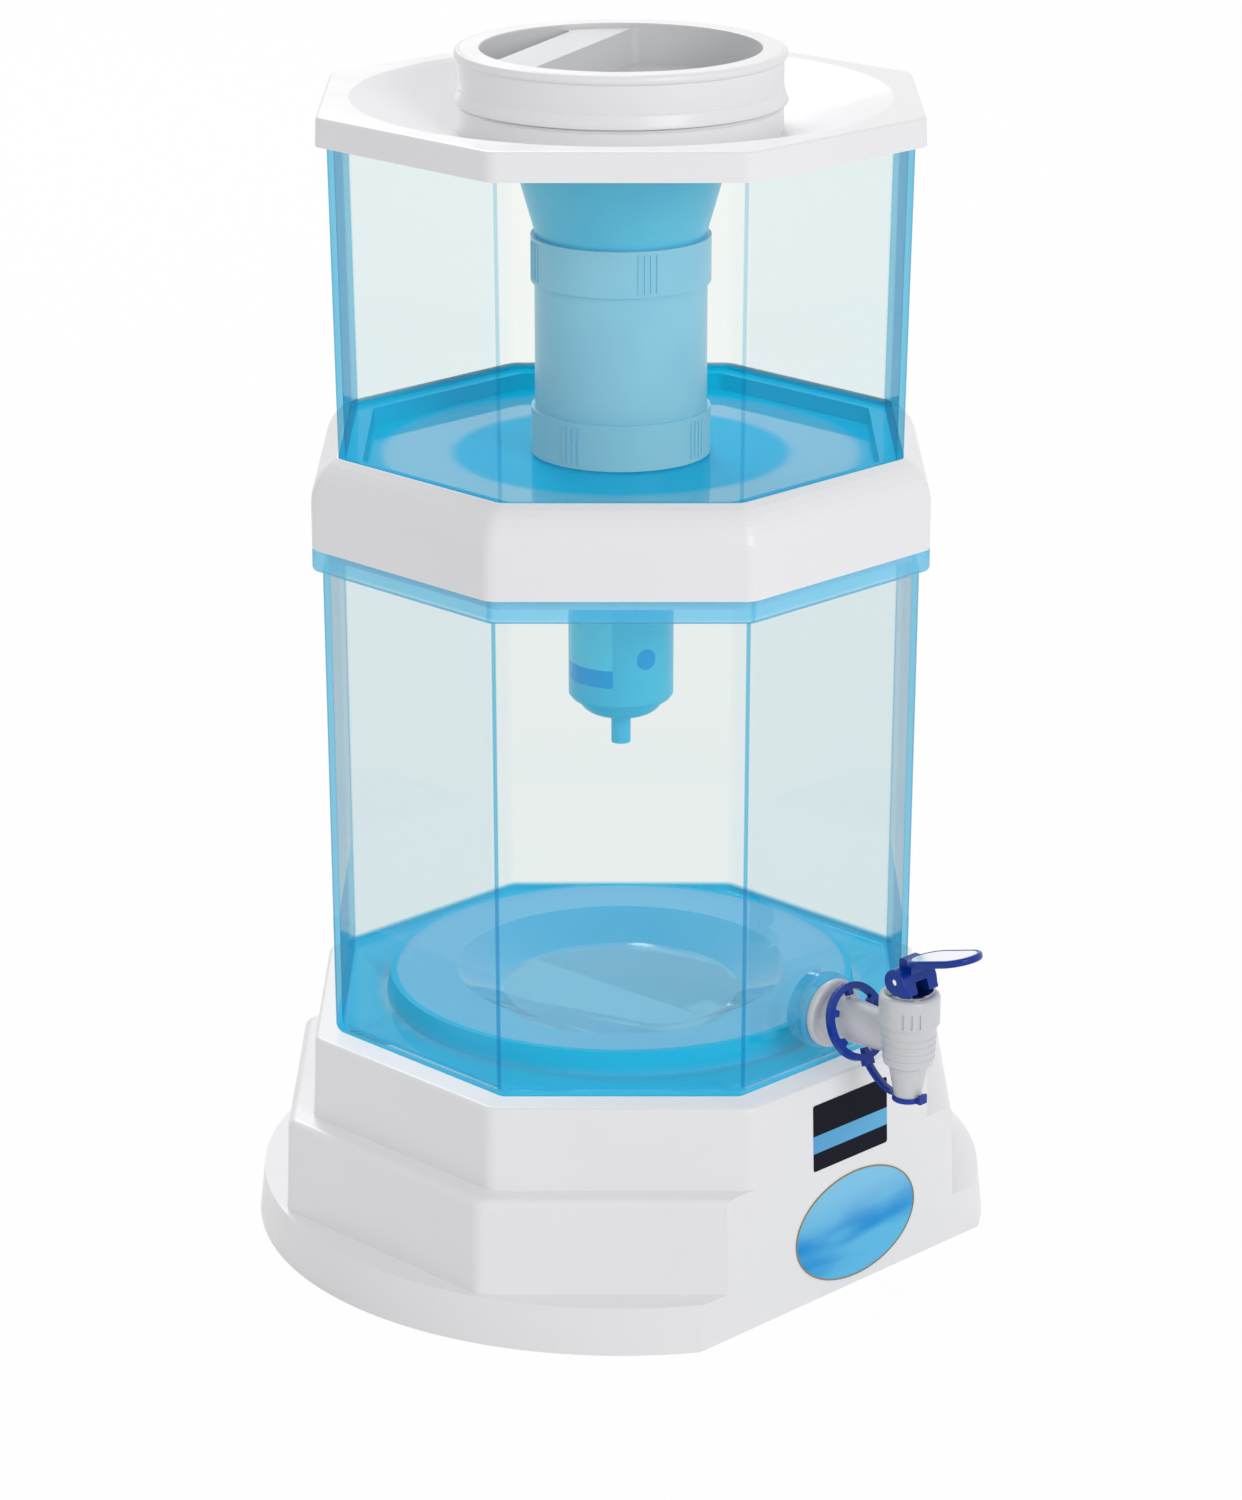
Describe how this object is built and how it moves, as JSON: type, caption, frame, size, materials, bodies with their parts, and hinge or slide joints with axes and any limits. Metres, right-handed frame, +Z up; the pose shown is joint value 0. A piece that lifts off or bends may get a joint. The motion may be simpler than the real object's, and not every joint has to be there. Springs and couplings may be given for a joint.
{
  "type": "gravity water filter with tap",
  "caption": "Gravity water filter: clear octagonal upper and lower tanks on a stepped stand, with a funnel, filter, cartridge, capped lid and a lever tap.",
  "frame": {"origin": "on the tanks' axis, in the plane of the stand's rim that stands on the table", "axes": "+Z up, -Y towards the tap and the stand's flat front, +X to the right seen from the tap's side's back"},
  "size_m": [0.355, 0.4026, 0.5695],
  "materials": {
    "white_plastic": "smooth, softly glossy moulded plastic",
    "clear_plastic": "clear pale blue moulded plastic",
    "blue_clear_plastic": "cloudy light blue moulded plastic",
    "filter_felt": "white melt-blown felt",
    "fibre": "fine hollow fibres",
    "potting": "cast resin",
    "clear_rubber": "translucent silicone",
    "grey_plastic": "pale grey moulded plastic",
    "bright_metal": "polished",
    "spring_steel": "drawn wire",
    "dark_plastic": "black moulded plastic",
    "blue_plastic": "glossy royal blue moulded plastic"
  },
  "bodies": {
    "stand": {"base_stand": "white_plastic"},
    "lower": {"lower_tank": "clear_plastic", "tap_body": "grey_plastic", "tap_bonnet": "grey_plastic", "tap_washer": "bright_metal", "tap_spring": "spring_steel", "tap_gasket": "clear_rubber", "strap_ring": "blue_plastic", "cap_strap": "blue_plastic"},
    "upper": {"collar_band": "white_plastic", "upper_tank": "clear_plastic", "filter_bottom_collar": "blue_clear_plastic", "filter_gasket": "clear_rubber", "filter_housing": "blue_clear_plastic", "filter_top_collar": "blue_clear_plastic", "sediment_core": "filter_felt", "funnel": "blue_clear_plastic", "cartridge_cap": "blue_clear_plastic", "cartridge_gasket": "clear_rubber", "cartridge_body": "blue_clear_plastic", "cartridge_potting": "potting", "fibre_bundle": "fibre"},
    "lid": {"lid": "white_plastic"},
    "cap": {"fill_cap": "white_plastic", "cap_seal": "clear_rubber"},
    "plunger": {"tap_plunger": "dark_plastic", "tap_valve_seal": "clear_rubber", "lever_pin": "bright_metal"},
    "lever": {"tap_lever": "blue_plastic", "lever_plate": "bright_metal"},
    "stopper": {"spout_cap": "blue_plastic"}
  },
  "joints": [
    {"name": "lower_tank_lift", "type": "slide", "parent": "stand", "child": "lower", "axis": [0, 0, 1], "range_m": [0, 0.08]},
    {"name": "upper_tank_lift", "type": "slide", "parent": "lower", "child": "upper", "axis": [0, 0, 1], "range_m": [0, 0.13]},
    {"name": "lid_lift", "type": "slide", "parent": "upper", "child": "lid", "axis": [0, 0, 1], "range_m": [0, 0.06]},
    {"name": "fill_cap_lift", "type": "slide", "parent": "lid", "child": "cap", "axis": [0, 0, 1], "range_m": [0, 0.05]},
    {"name": "plunger_rise", "type": "slide", "parent": "lower", "child": "plunger", "axis": [0, 0, 1], "range_m": [0, 0.00275], "deforming": ["tap_spring"]},
    {"name": "lever_press", "type": "hinge", "parent": "plunger", "child": "lever", "pos_m": [0, -0.18601, 0.1681], "axis": [1, 0, 0], "range_deg": [0, 24], "stiffness_Nm_per_rad": 0.0456, "springref_deg": -24},
    {"name": "spout_cap_pull", "type": "slide", "parent": "lower", "child": "stopper", "axis": [0, 0, -1], "range_m": [0, 0.012], "deforming": ["cap_strap"]}
  ],
  "couplings": [
    {"joint": "plunger_rise", "follows": "lever_press", "m_per_rad": 0.006565}
  ]
}
